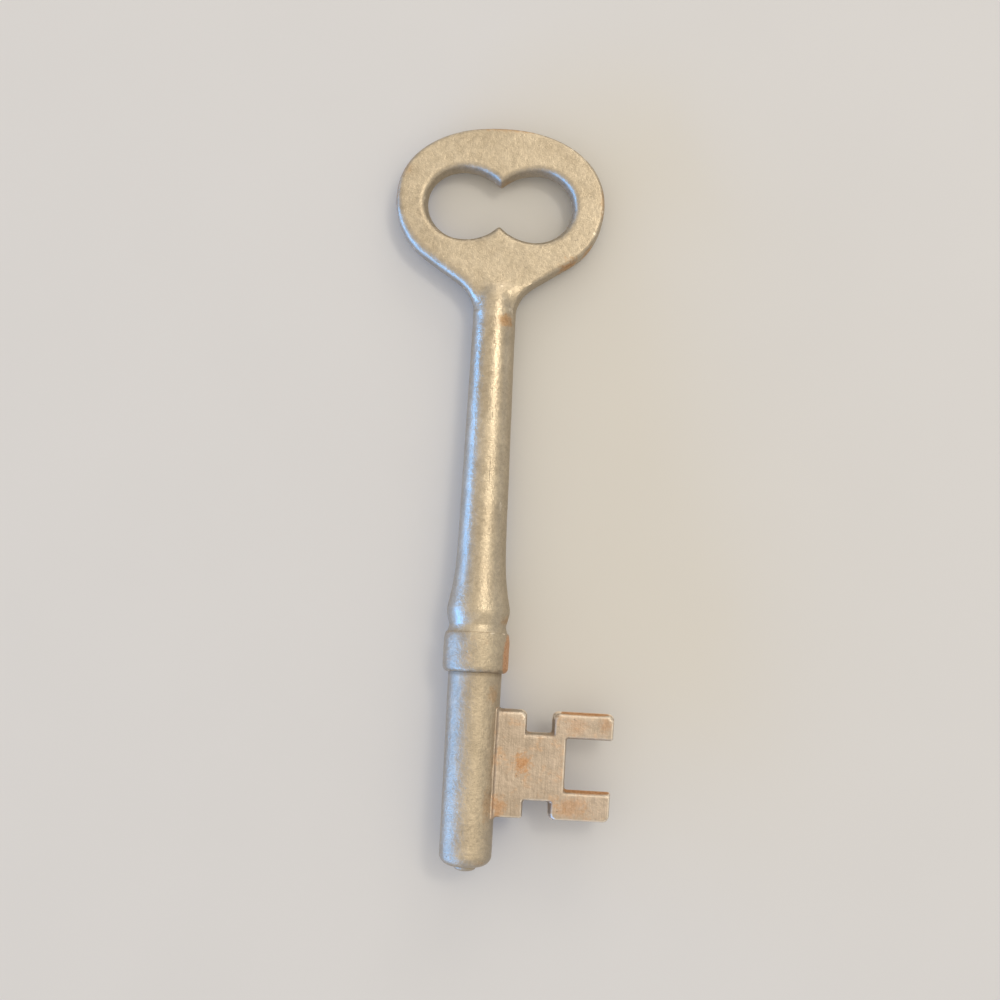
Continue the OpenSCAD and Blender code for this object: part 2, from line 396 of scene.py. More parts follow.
class Graph:
    """A material's node tree, with one short call for each kind of node."""

    def __init__(self, tree: bpy.types.NodeTree) -> None:
        """Keep the tree that nodes are added to."""
        self.tree = tree

    def node(self, kind: str, **settings: object) -> bpy.types.Node:
        """Add a node.

        Args:
            kind: Blender's name for its type.
            settings: Its properties, by name.

        Returns:
            The node.
        """
        made = self.tree.nodes.new(kind)
        for name, value in settings.items():
            setattr(made, name, value)
        return made

    def feed(self, socket: bpy.types.NodeSocket, value: object) -> None:
        """Link a socket to another, or set it.

        Args:
            socket: The input.
            value: An output to link it to, or a number, triple or colour to set it to.
        """
        if isinstance(value, bpy.types.NodeSocket):
            self.tree.links.new(value, socket)
        elif isinstance(value, tuple) and len(value) == 3 and socket.type == "RGBA":
            socket.default_value = (*value, 1.0)
        else:
            socket.default_value = value

    def math(self, operation: str, *values: object, clamp: bool = False) -> bpy.types.NodeSocket:
        """Return the result of a Math node.

        Args:
            operation: Name of the operation.
            values: Its inputs, as sockets or numbers.
            clamp: Whether the result is kept between 0 and 1.

        Returns:
            The node's output.
        """
        made = self.node("ShaderNodeMath", operation=operation, use_clamp=clamp)
        for socket, value in zip(made.inputs, values):
            self.feed(socket, value)
        return made.outputs[0]

    def vector(self, operation: str, *values: object, result: str = "Vector") -> bpy.types.NodeSocket:
        """Return the result of a Vector Math node.

        Args:
            operation: Name of the operation.
            values: Its vector inputs, as sockets or triples.
            result: Name of the output.

        Returns:
            The node's output.
        """
        made = self.node("ShaderNodeVectorMath", operation=operation)
        for socket, value in zip(made.inputs, values):
            self.feed(socket, value)
        return made.outputs[result]

    def step(self, value: object, low: float, high: float) -> bpy.types.NodeSocket:
        """Return a smooth step of a value.

        Args:
            value: A socket or a number.
            low: The value that becomes 0.
            high: The value that becomes 1; it may lie below low.

        Returns:
            A share from 0 to 1.
        """
        made = self.node("ShaderNodeMapRange", interpolation_type="SMOOTHSTEP")
        for name, amount in (("Value", value), ("From Min", low), ("From Max", high)):
            self.feed(made.inputs[name], amount)
        return made.outputs["Result"]

    def blend(self, share: object, a: object, b: object, mode: str = "MIX") -> bpy.types.NodeSocket:
        """Return a colour between two.

        Args:
            share: How much of b there is.
            a: First colour.
            b: Second colour.
            mode: Name of the blend.

        Returns:
            The mixed colour.
        """
        made = self.node("ShaderNodeMix", data_type="RGBA", blend_type=mode)
        self.feed(made.inputs[0], share)
        self.feed(made.inputs[6], a)
        self.feed(made.inputs[7], b)
        return made.outputs[2]

    def clouds(self, at: object, pattern: Clouds) -> bpy.types.NodeSocket:
        """Return a cloudy pattern.

        Args:
            at: Coordinates in millimetres.
            pattern: How coarse, how ragged and how strong it is.

        Returns:
            A value round 0.5, or a share from 0 to 1 where the pattern has a contrast.
        """
        made = self.node("ShaderNodeTexNoise", noise_dimensions="3D")
        self.feed(made.inputs["Vector"], at)
        self.feed(made.inputs["Scale"], pattern.density)
        self.feed(made.inputs["Detail"], pattern.detail)
        self.feed(made.inputs["Roughness"], pattern.rough)
        if pattern.contrast is None:
            return made.outputs["Fac"]
        return self.step(made.outputs["Fac"], *pattern.contrast)

    def parts(self, vector: object) -> Sequence[bpy.types.NodeSocket]:
        """Return the x, y and z of a vector.

        Args:
            vector: The vector's socket.

        Returns:
            The three outputs.
        """
        made = self.node("ShaderNodeSeparateXYZ")
        self.feed(made.inputs[0], vector)
        return made.outputs[:]

    def place(self) -> bpy.types.NodeSocket:
        """Return the coordinates on the object, in millimetres."""
        return self.vector("MULTIPLY", self.node("ShaderNodeTexCoord").outputs["Object"], TO_MM)


@dataclass(frozen=True)
class Stain:
    """A patch where the plate is worn through and the iron has turned.

    Attributes:
        at: Its middle, in millimetres.
        reach: Its half sizes along x, y and z.
        strength: How much of it shows.
        ragged: How far its edge strays from an ellipsoid.
    """

    at: Triple
    reach: Triple
    strength: float = 1.0
    ragged: float = 1.0


@dataclass(frozen=True)
class Seam:
    """A thin dark line along the key, such as a cold shut in the casting.

    Attributes:
        at: Its middle, in millimetres.
        half_length: Half its length along the key.
        half_width: Half its width.
        strength: How dark it is.
    """

    at: Triple
    half_length: float
    half_width: float
    strength: float


@dataclass(frozen=True)
class Skin:
    """The patterns that a finish's colour, gloss and relief share, as outputs of its nodes.

    Attributes:
        at: Coordinates on the key, in millimetres.
        along: The coordinate towards the bow.
        mottle: Cloudy patches, a millimetre or so wide.
        grain: The finest grain of the sand mould.
        peel: The soft pebbling of the plate.
        strokes: Lines of the file or the lathe, drawn out along the key.
        pits: Where a pit is.
        line: Where a dark line runs.
        bare: Where the plate is worn through.
        sides: How far the skin turns away from the faces.
        pointed: How sharp an edge or a hollow is.
        off_joint: 0 at a joint, 1 away from it.
    """

    at: bpy.types.NodeSocket
    along: bpy.types.NodeSocket
    mottle: bpy.types.NodeSocket
    grain: bpy.types.NodeSocket
    peel: bpy.types.NodeSocket
    strokes: bpy.types.NodeSocket
    pits: bpy.types.NodeSocket
    line: bpy.types.NodeSocket | float
    bare: bpy.types.NodeSocket | float
    sides: bpy.types.NodeSocket
    pointed: bpy.types.NodeSocket
    off_joint: bpy.types.NodeSocket


class Cut(Enum):
    """How a piece was worked: the strength of its lines along the key."""

    CAST = 0.12
    TURNED = 0.3
    FILED = 1.0


# Cloudy patterns of the plate and the iron under it, from the coarsest to the finest
BROAD = Clouds(0.22, 3.0, contrast=(0.38, 0.62))
PITTED_PLACES = Clouds(0.5, 2.0, contrast=(0.52, 0.66))
WARM_PLACES = Clouds(0.55, 4.0, 0.7, (0.5, 0.72))
MOTTLE = Clouds(0.95, 4.0, 0.65, (0.34, 0.68))
STROKES = Clouds(1.0, 3.0, 0.7)
RAGGED = Clouds(1.5, 4.0, 0.7)
PEEL = Clouds(2.4, 2.0, 0.55)
RUST_SPOTS = Clouds(3.2, 3.0, 0.7, (0.35, 0.65))
GRAIN = Clouds(6.0, 2.0, 0.6)
SPECKS = Clouds(11.0, 2.0, 0.6, (0.35, 0.65))

# Scale of the tool's lines on each axis, which draws them out along the key
DRAWN_OUT = (4.0, 0.3, 4.0)

# Pits: cells to the millimetre with a pit each, and the distance in cells at which it starts and is full
PITS_TO_MM = 1.3
PIT_R = (0.15, 0.03)

# Pointiness at which a hollow starts to be darkened as painted shade, and at which it is full
HOLLOW_FROM = (0.492, 0.44)

# Where along the key fingers have polished it, from the stem's upper half to the neck
HANDLED_FROM = (26.0, 38.0)
HANDLED_TO = (48.5, 44.5)

# Strength of the fine relief, and its depth in millimetres
BUMP_STRENGTH = 0.55
BUMP_DEPTH = 0.045


@dataclass(frozen=True)
class NickelPlate:
    """Worn satin nickel plate over malleable iron, with a highlight painted on sharp edges and shade
    painted in hollows and at joints.

    Attributes:
        name: Name of the material.
        cut: How the piece was worked.
        bright: Colour of a rubbed edge, which also paints a highlight along it.
        light: Colour of the cleaner plate.
        dull: Colour of the duller plate.
        copper: Colour where the plate is worn thin.
        rust: Colour of the rusty spots in a stain.
        patina: Colour of walls, which are rubbed less than the faces.
        grime_and_shade: Colour of what sits in pits and dark lines, and of the painted shade in hollows and
            the painted shadow at a joint.
        roughness: Roughness of the plate before its patterns.
        coppery: How much of the plate is worn thin.
        stains: Patches that are worn through.
        seams: Dark lines.
        joints: Places along the key where the next piece starts, kept clear of the edge wear with its
            painted highlight and of the painted shade in hollows.
        root: Place across the key where the web meets the post, treated like a joint.
        joint_shadow: How dark a painted shadow lines a joint.
        hollow_shade: How dark the painted shade in hollows is.
        edges: How much every edge is rubbed bright, which also paints a highlight along it.
        edge_from: How sharp an edge is where the rubbing and its painted highlight start, and where they
            are full.
        rough_sides: What the walls add to the roughness.
        relief: Depth of the grain, with 1 for a plain casting.
    """

    name: str
    cut: Cut
    bright: Triple = (0.86, 0.77, 0.64)
    light: Triple = (0.66, 0.575, 0.445)
    dull: Triple = (0.51, 0.435, 0.33)
    copper: Triple = (0.66, 0.41, 0.21)
    rust: Triple = (0.4, 0.2, 0.07)
    patina: Triple = (0.43, 0.37, 0.29)
    grime_and_shade: Triple = (0.16, 0.115, 0.07)
    roughness: float = 0.45
    coppery: float = 0.0
    stains: tuple[Stain, ...] = ()
    seams: tuple[Seam, ...] = ()
    joints: tuple[float, ...] = (41.0,)
    root: float = -99.0
    joint_shadow: float = 0.0
    hollow_shade: float = 0.75
    edges: float = 0.25
    edge_from: Pair = (0.515, 0.56)
    rough_sides: float = 0.14
    relief: float = 1.0

    @property
    def even(self) -> float:
        """Return how much of the cast skin's own grain the tool has left."""
        return 1.0 - 0.45 * self.cut.value

    def stain_share(self, g: Graph, at: object) -> bpy.types.NodeSocket | float:
        """Return where the plate is worn through.

        Args:
            g: The material's graph.
            at: Coordinates in millimetres.

        Returns:
            A share from 0 to 1, or 0 where nothing is stained.
        """
        ragged = g.math("SUBTRACT", g.clouds(at, RAGGED), 0.5)
        total: bpy.types.NodeSocket | float = 0.0
        for stain in self.stains:
            away = g.vector("SUBTRACT", at, stain.at)
            scaled = g.vector("DIVIDE", away, stain.reach)
            length = g.vector("LENGTH", scaled, result="Value")
            edge = g.math("MULTIPLY_ADD", ragged, 2.2 * stain.ragged, length)
            share = g.math("MULTIPLY", g.step(edge, 1.05, 0.95 - 0.7 * stain.ragged), stain.strength)
            total = g.math("MAXIMUM", total, share)
        return total

    def seam_share(self, g: Graph, at: object) -> bpy.types.NodeSocket | float:
        """Return where a dark line runs.

        Args:
            g: The material's graph.
            at: Coordinates in millimetres.

        Returns:
            A share from 0 to 1, or 0 where there is no line.
        """
        total: bpy.types.NodeSocket | float = 0.0
        for seam in self.seams:
            away = g.vector("SUBTRACT", at, seam.at)
            reach = (seam.half_width, seam.half_length, 1.0)
            length = g.vector("LENGTH", g.vector("DIVIDE", away, reach), result="Value")
            total = g.math("MAXIMUM", total, g.math("MULTIPLY", g.step(length, 1.0, 0.2), seam.strength))
        return total

    def pit_share(self, g: Graph, at: object) -> bpy.types.NodeSocket:
        """Return where a pit is.

        Args:
            g: The material's graph.
            at: Coordinates in millimetres.

        Returns:
            A share from 0 to 1.
        """
        spots = g.node("ShaderNodeTexVoronoi", feature="F1")
        g.feed(spots.inputs["Vector"], at)
        g.feed(spots.inputs["Scale"], PITS_TO_MM)
        return g.math("MULTIPLY", g.step(spots.outputs["Distance"], *PIT_R), g.clouds(at, PITTED_PLACES))

    def off_joint_share(self, g: Graph, across: object, along: object) -> bpy.types.NodeSocket:
        """Return how clear a place is of the joints.

        Args:
            g: The material's graph.
            across: The coordinate towards the prongs.
            along: The coordinate towards the bow.

        Returns:
            A share from 0 at a joint to 1.
        """
        clear = g.step(across, self.root, self.root + 0.4)
        for joint in self.joints:
            away = g.math("ABSOLUTE", g.math("SUBTRACT", along, joint))
            clear = g.math("MULTIPLY", clear, g.step(away, 0.2, 0.6))
        return clear

    def skin(self, g: Graph) -> Skin:
        """Return the patterns that the layers of this finish share.

        Args:
            g: The material's graph.

        Returns:
            The patterns.
        """
        at = g.place()
        across, along, _ = g.parts(at)
        facing = g.parts(g.node("ShaderNodeTexCoord").outputs["Normal"])[2]
        return Skin(
            at=at,
            along=along,
            mottle=g.clouds(at, MOTTLE),
            grain=g.clouds(at, GRAIN),
            peel=g.clouds(at, PEEL),
            strokes=g.clouds(g.vector("MULTIPLY", at, DRAWN_OUT), STROKES),
            pits=self.pit_share(g, at),
            line=self.seam_share(g, at),
            bare=self.stain_share(g, at),
            sides=g.step(g.math("ABSOLUTE", facing), 0.8, 0.3),
            pointed=g.node("ShaderNodeNewGeometry").outputs["Pointiness"],
            off_joint=self.off_joint_share(g, across, along),
        )

    def sheen(self, g: Graph, skin: Skin) -> bpy.types.NodeSocket:
        """Return how the grain and the tool's lines lighten and darken the plate.

        Args:
            g: The material's graph.
            skin: Its patterns.

        Returns:
            A grey near 1.
        """
        sheen = g.math("MULTIPLY_ADD", skin.grain, 0.24 * self.even, 0.95 - 0.27 * self.even)
        sheen = g.math("MULTIPLY_ADD", g.clouds(skin.at, SPECKS), 0.16 * self.even, sheen)
        sheen = g.math("MULTIPLY_ADD", g.step(skin.peel, 0.3, 0.7), 0.14 * self.even, sheen)
        lines = g.math("MULTIPLY_ADD", skin.strokes, 0.52 * self.cut.value, 1.0 - 0.26 * self.cut.value)
        sheen = g.math("MULTIPLY", sheen, lines)
        grey = g.node("ShaderNodeCombineColor")
        for socket in grey.inputs:
            g.feed(socket, sheen)
        return grey.outputs[0]

    def plate(self, g: Graph, skin: Skin) -> bpy.types.NodeSocket:
        """Return the colour of the sound plate.

        Args:
            g: The material's graph.
            skin: Its patterns.

        Returns:
            The colour.
        """
        broad = g.math("MULTIPLY", g.clouds(skin.at, BROAD), 0.45)
        tone = g.math("MULTIPLY_ADD", skin.mottle, 0.55, broad)
        colour = g.blend(tone, self.dull, self.light)
        colour = g.blend(g.math("MULTIPLY", skin.sides, 0.6), colour, self.patina)
        return g.blend(1.0, colour, self.sheen(g, skin), "MULTIPLY")

    def stained(self, g: Graph, skin: Skin, colour: object) -> bpy.types.NodeSocket:
        """Return a colour with the coppery places and the stains on it.

        Args:
            g: The material's graph.
            skin: Its patterns.
            colour: The colour of the sound plate.

        Returns:
            The colour.
        """
        warm = g.math("MULTIPLY", g.clouds(skin.at, WARM_PLACES), self.coppery)
        colour = g.blend(warm, colour, self.copper)
        stain = g.blend(g.clouds(skin.at, RUST_SPOTS), self.rust, self.copper)
        return g.blend(g.math("MULTIPLY", skin.bare, 0.85), colour, stain)

    def wear_and_highlight_share(self, g: Graph, skin: Skin) -> bpy.types.NodeSocket:
        """Return where an edge is rubbed bright, which also paints a highlight along it.

        Args:
            g: The material's graph.
            skin: Its patterns.

        Returns:
            A share from 0 to 1.
        """
        rubbed = g.math("MULTIPLY_ADD", skin.mottle, 0.4, self.edges)
        # Rubbed edge wear together with a painted highlight along sharp edges
        worn = g.math("MULTIPLY", g.step(skin.pointed, *self.edge_from), rubbed)
        return g.math("MULTIPLY", worn, skin.off_joint, clamp=True)

    def dirt_and_shade_share(self, g: Graph, skin: Skin) -> bpy.types.NodeSocket:
        """Return where the dark colour goes: in pits and dark lines, which are soiled, in hollows as
        painted shade, and round a joint as a painted shadow.

        Args:
            g: The material's graph.
            skin: Its patterns.

        Returns:
            A share from 0 to 1.
        """
        # Painted shade in hollows
        hollow_dark = g.math("MULTIPLY", skin.off_joint, self.hollow_shade)
        dirt_and_shade = g.math("MULTIPLY", g.step(skin.pointed, *HOLLOW_FROM), hollow_dark)
        dirt_and_shade = g.math("MAXIMUM", dirt_and_shade, g.math("MULTIPLY", skin.pits, 0.4))
        dirt_and_shade = g.math("MAXIMUM", dirt_and_shade, g.math("MULTIPLY", skin.line, 0.8))
        # Painted shadow round a joint
        at_joint = g.math("MULTIPLY_ADD", skin.off_joint, -self.joint_shadow, self.joint_shadow)
        return g.math("MAXIMUM", dirt_and_shade, at_joint)

    def gloss(self, g: Graph, skin: Skin, worn: object, dirt_and_shade: object) -> bpy.types.NodeSocket:
        """Return the roughness, which fingers have lowered from the stem's upper half to the neck.

        Args:
            g: The material's graph.
            skin: Its patterns.
            worn: Where an edge is rubbed bright and a highlight is painted.
            dirt_and_shade: Where pits and lines are soiled and where shade is painted.

        Returns:
            The roughness.
        """
        rough = g.math("MULTIPLY_ADD", skin.mottle, 0.07, self.roughness - 0.03)
        rough = g.math("MULTIPLY_ADD", skin.grain, 0.1, g.math("SUBTRACT", rough, 0.05))
        rough = g.math("MULTIPLY_ADD", skin.bare, 0.22, rough)
        rough = g.math("MULTIPLY_ADD", worn, -0.06, rough)
        rough = g.math("MULTIPLY_ADD", skin.sides, self.rough_sides, rough)
        handled = g.math("MULTIPLY", g.step(skin.along, *HANDLED_FROM), g.step(skin.along, *HANDLED_TO))
        rough = g.math("MULTIPLY_ADD", handled, -0.09, rough)
        return g.math("MULTIPLY_ADD", dirt_and_shade, 0.2, rough, clamp=True)

    def bumps(self, g: Graph, skin: Skin) -> bpy.types.NodeSocket:
        """Return the fine relief: peel, grain and tool lines, with the pits and the lines sunk.

        Args:
            g: The material's graph.
            skin: Its patterns.

        Returns:
            The shading normal.
        """
        height = g.math("MULTIPLY", skin.grain, 0.9 * self.even)
        height = g.math("MULTIPLY_ADD", skin.peel, 1.8 * self.even, height)
        height = g.math("MULTIPLY_ADD", skin.mottle, 0.5, height)
        height = g.math("MULTIPLY_ADD", skin.strokes, 1.1 * self.cut.value, height)
        height = g.math("MULTIPLY_ADD", skin.pits, -1.4, height)
        height = g.math("MULTIPLY_ADD", skin.line, -1.6, height)
        bump = g.node("ShaderNodeBump")
        g.feed(bump.inputs["Strength"], BUMP_STRENGTH)
        g.feed(bump.inputs["Distance"], BUMP_DEPTH * MM * self.relief)
        g.feed(bump.inputs["Height"], height)
        return bump.outputs[0]

    def material(self) -> bpy.types.Material:
        """Build the finish, from the plate through the rubbed edges with their painted highlight up to the
        soiling and the painted shade.

        Returns:
            The node material.
        """
        made = bpy.data.materials.new(self.name)
        made.use_nodes = True
        made.diffuse_color = (*self.light, 1.0)
        made.node_tree.nodes.clear()
        g = Graph(made.node_tree)
        out = g.node("ShaderNodeOutputMaterial")
        shader = g.node("ShaderNodeBsdfPrincipled")
        g.tree.links.new(shader.outputs[0], out.inputs["Surface"])
        skin = self.skin(g)
        # Rubbed edges, with a highlight painted along them
        worn = self.wear_and_highlight_share(g, skin)
        # Soiled pits and lines, painted shade in hollows and a painted shadow round a joint
        dirt_and_shade = self.dirt_and_shade_share(g, skin)
        colour = self.stained(g, skin, self.plate(g, skin))
        colour = g.blend(worn, colour, self.bright)
        g.feed(shader.inputs["Base Color"], g.blend(dirt_and_shade, colour, self.grime_and_shade))
        g.feed(shader.inputs["Roughness"], self.gloss(g, skin, worn, dirt_and_shade))
        g.feed(shader.inputs["Metallic"], g.math("MULTIPLY_ADD", dirt_and_shade, -0.4, 1.0))
        g.feed(shader.inputs["Normal"], self.bumps(g, skin))
        return made


@dataclass(frozen=True)
class Board:
    """The plain pale board that the key lies on.

    Attributes:
        name: Name of the material.
        colour: Its colour, with paler clouds on it.
        clouds: How coarse the clouds are.
        paler: How many times as light the palest places are.
        roughness: How matt it is.
        specular: How much it mirrors.
    """

    name: str = "pale_board"
    colour: Triple = (0.68, 0.68, 0.685)
    clouds: Clouds = Clouds(0.06, 3.0)
    paler: float = 1.03
    roughness: float = 0.9
    specular: float = 0.1

    def material(self) -> bpy.types.Material:
        """Paint the board.

        Returns:
            The node material.
        """
        made = bpy.data.materials.new(self.name)
        made.use_nodes = True
        g = Graph(made.node_tree)
        shader = made.node_tree.nodes["Principled BSDF"]
        palest = tuple(min(1.0, c * self.paler) for c in self.colour)
        g.feed(shader.inputs["Base Color"], g.blend(g.clouds(g.place(), self.clouds), self.colour, palest))
        g.feed(shader.inputs["Roughness"], self.roughness)
        g.feed(shader.inputs["Specular IOR Level"], self.specular)
        return made


# Pieces


@dataclass
class Piece(ABC):
    """What every piece of the key shares: its node, its slot and its finish."""

    node: str
    slot: str
    finish: NickelPlate

    @abstractmethod
    def build(self) -> bpy.types.Object:
        """Return the dressed piece."""

    def dress(self, piece: bpy.types.Object) -> bpy.types.Object:
        """Give a piece its finish and put it in its node's place.

        Args:
            piece: The finished mesh.

        Returns:
            The same piece, riding on the key's body.
        """
        piece.data.materials.clear()
        piece.data.materials.append(self.finish.material())
        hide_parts(self.node)
        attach(piece, "root")
        return piece


@dataclass
class Bow(Piece):
    """The flat oval grip with its lobed opening, and the neck that grows out of it.

    The right side runs from the foot in the neck through a hollow fillet and a round side to the
    crown. Each lobe of the opening is half an ellipse outside and another inside, cut off where the
    two lobes meet in cusps. The neck ends in a nose that dies into both faces. The rubbed rim and
    cusps and the filled crease on the front are wear and chance, and only in the looks.
    """

    node: str = "bow"
    slot: str = "nickel"
    finish: NickelPlate = field(
        default_factory=lambda: NickelPlate(
            "bow_nickel",
            Cut.CAST,
            light=(0.64, 0.555, 0.43),
            # Faint painted shade in the hollows
            hollow_shade=0.15,
            stains=(
                Stain((1.45, 42.15, 2.0), (1.15, 0.95, 2.5), 0.8, 0.9),
                Stain((8.9, 49.2, 0.4), (2.2, 1.5, 1.6), 0.9, 0.9),
                Stain((10.8, 51.4, 0.0), (1.0, 1.7, 1.4), 0.7, 0.8),
                Stain((-11.6, 60.0, 0.8), (1.4, 1.3, 1.4), 0.3),
                Stain((0.4, 65.2, 0.9), (5.5, 0.5, 1.3), 0.5, 0.8),
                Stain((12.4, 57.6, 0.9), (0.5, 4.5, 1.3), 0.4, 0.8),
                Stain((-12.4, 58.2, 0.9), (0.5, 4.5, 1.3), 0.4, 0.8),
                Stain((-3.4, 46.0, -1.4), (1.4, 1.0, 1.4), 0.5),
                Stain((0.9, 58.9, 0.0), (1.6, 0.8, 1.6), 0.35),
            ),
        )
    )
    width: float = 25.1
    crown: float = 8.9
    thick: float = 3.0
    crown_power: float = 2.15
    side_r: float = 8.3
    slope: float = 33.0
    fillet_r: float = 4.6
    foot: float = 43.0
    rim_r: float = 0.4
    rim_worn: Pair = (0.75, 0.6)
    lobe_gap: float = 8.7
    lobe_out: float = 4.3
    lobe_in: float = 5.05
    lobe_h: float = 8.0
    lobe_drop: float = 0.3
    cusp_w: float = 0.4
    cusp_worn: float = 0.6
    draft: float = 0.4
    mouth_r: float = 0.6
    neck_r: float = 2.6
    neck_y: float = 41.0
    nose_y: float = 43.4
    nose_l: float = 4.3
    least: float = 0.05
    foot_sunk: Pair = (0.8, 0.4)
    neck_sides: int = 96
    around: int = 420
    voxel: float = 0.115
    spare: float = 1.5
    crease_strokes: tuple[tuple[float, int], ...] = ((1.5, 24), (1.1, 26), (0.7, 20))
    filled: float = 0.85
    crater: Pair = (0.1, 44.6)
    crater_r: Pair = (0.34, 0.06)
    crater_depth: float = 0.035
    waves: Waves = Waves(((0.022, 3.1, 2.0), (0.014, 1.2, 7.0)), 0.03)

    def __post_init__(self) -> None:
        """Work out the places that follow from the sizes."""
        slope = math.radians(self.slope)
        self.reach = self.side_r + self.fillet_r
        self.fillet = (self.neck_r - self.least + self.fillet_r, self.foot)
        side_x = self.width / 2 - self.side_r
        rise = math.tan(slope) * (side_x + self.reach * math.sin(slope) - self.fillet[0])
        self.mid = (side_x, self.foot + rise + self.reach * math.cos(slope))
        self.lobe_y = self.mid[1] - self.lobe_drop

    def crown_point(self, t: float) -> Pair:
        """Return a point of the crown.

        Args:
            t: 0 at the side, 1 at the top.

        Returns:
            The point.
        """
        a = 0.5 * math.pi * t
        power = 2 / self.crown_power
        x = self.width / 2 * max(0.0, math.cos(a)) ** power
        return (x, self.mid[1] + self.crown * math.sin(a) ** power)

    def right_side(self) -> Outline:
        """Draw the right half of the outline, from the foot in the neck to the crown.

        Returns:
            The half outline.
        """
        foot_y = self.foot - self.foot_sunk[0]
        drawn = Outline((0.0, foot_y)).line((self.neck_r / 2, foot_y))
        drawn.line((self.fillet[0] - self.fillet_r, foot_y + self.foot_sunk[1]))
        drawn.arc(self.fillet, (self.fillet_r, self.fillet_r), 180.0, 90.0 + self.slope, 24)
        drawn.arc(self.mid, (self.side_r, self.side_r), self.slope - 90.0, 0.0, 40)
        return drawn.curve(self.crown_point, 90)

    @staticmethod
    def both_sides(right: Sequence[Pair]) -> list[Pair]:
        """Return a full ring of points from its right half, which starts and ends on the axis."""
        return list(right) + [(-x, y) for x, y in reversed(right[1:-1])]

    def rim_round(self, y: float) -> float:
        """Return the radius of the rim at a height: the edge grows fully round towards the neck."""
        most = self.thick / 2 - self.least
        return self.rim_r + (most - self.rim_r) * ease(self.foot + self.neck_r, self.foot, y)

    def rim_ring(self, outline: Sequence[Pair], side: int, angle: float) -> list[Triple]:
        """Return one ring of the rounded rim.

        Args:
            outline: The full outline.
            side: 1 above, -1 below.
            angle: 0 at the wall, 90 on the face, in degrees.

        Returns:
            The ring's points.
        """
        ring = []
        turn = math.radians(angle)
        most = self.thick / 2 - self.least
        for i, here in enumerate(outline):
            before, after = outline[i - 1], outline[(i + 1) % len(outline)]
            away = Vector((after[1] - before[1], before[0] - after[0])).normalized()
            r = self.rim_round(here[1])
            thumbed = max(0.0, -0.6 * away.x - 0.8 * away.y) ** 1.5
            wide = min(most, r + self.rim_worn[0] * thumbed)
            tall = min(most, r + self.rim_worn[1] * (0.3 + 0.7 * thumbed))
            q = Vector(here) - away * wide * (1.0 - math.cos(turn))
            ring.append((q.x, q.y, side * (self.thick / 2 - tall * (1.0 - math.sin(turn)))))
        return ring

    def mouth_ring(self, side: int, angle: float) -> list[Triple]:
        """Return one ring of the opening's wall.

        Args:
            side: 1 above, -1 below, 0 for the narrow middle.
            angle: 0 at the wall, 90 on the face, in degrees.

        Returns:
            The ring's points.
        """
        turn = math.radians(angle)
        z = (self.thick / 2 - self.mouth_r * (1.0 - math.sin(turn))) * abs(side)
        grow = self.draft * z / (self.thick / 2) + self.mouth_r * (1.0 - math.cos(turn)) * abs(side)
        c, high = self.lobe_gap / 2, self.lobe_h / 2 + grow
        inner, outer = self.lobe_in + grow, self.lobe_out + grow
        upper = self.cusp_w / 2
        lower = upper + self.cusp_worn * (1.0 - math.cos(turn))
        first, last = -math.acos((lower - c) / inner), math.acos((upper - c) / inner)

        def lobe(t: float) -> Pair:
            """Find a point of the right lobe.

            Args:
                t: 0 at the lower cusp, 1 at the upper one.

            Returns:
                The point.
            """
            a = first + (last - first) * t
            x = c + (inner if math.cos(a) < 0 else outer) * math.cos(a)
            if math.cos(a) < 0:
                short = lower if a < 0 else upper
                x = math.sqrt(max(0.0, x * x - short * short))
            return (x, self.lobe_y + high * math.sin(a))

        right = Outline(lobe(0.0)).curve(lobe, 600).spread(self.around // 2)
        right[0], right[-1] = (0.0, right[0][1]), (0.0, right[-1][1])
        return [(x, y, side * z) for x, y in self.both_sides(right)]

    def plate(self, blank: Blank) -> None:
        """Lay the plate: a rounded rim outside, a drafted wall inside and a flat ring on each face.

        Args:
            blank: The bench that it is laid on.
        """
        outline = self.both_sides(self.right_side().spread(self.around // 2))
        rings = [self.rim_ring(outline, -1, a) for a in reversed(EDGE_ANGLES)]
        rings += [self.rim_ring(outline, 1, a) for a in EDGE_ANGLES]
        rings += [self.mouth_ring(1, a) for a in reversed(EDGE_ANGLES)]
        rings += [self.mouth_ring(0, 0.0)]
        rings += [self.mouth_ring(-1, a) for a in EDGE_ANGLES]
        blank.skin(rings + rings[:1])
        blank.close_up()

    def nose_gap(self, at: Vector) -> float:
        """Measure roughly how far a place lies outside the neck and its nose.

        Args:
            at: The place.

        Returns:
            The distance in millimetres, below 0 inside them.
        """
        over = max(0.0, at.y - self.nose_y) / self.nose_l
        r = self.neck_r * math.sqrt(max(0.0, 1.0 - over * over))
        return math.hypot(at.x, at.z) - r

    def near_crease(self, reach: float) -> Callable[[Vector], bool]:
        """Return a rule that says whether a place is near the line where nose and plate meet.

        Args:
            reach: Distance from the line, in millimetres.

        Returns:
            The rule.
        """

        def rule(at: Vector) -> bool:
            """Tell whether a place is near the crease.

            Args:
                at: The place.

            Returns:
                Whether it is.
            """
            if at.y < self.foot + 0.3 or at.y > self.nose_y + self.nose_l + 1.6:
                return False
            gap = abs(self.nose_gap(at)) if at.y < self.nose_y + self.nose_l else abs(at.x)
            return max(gap * 0.75, abs(abs(at.z) - self.thick / 2)) < reach

        return rule

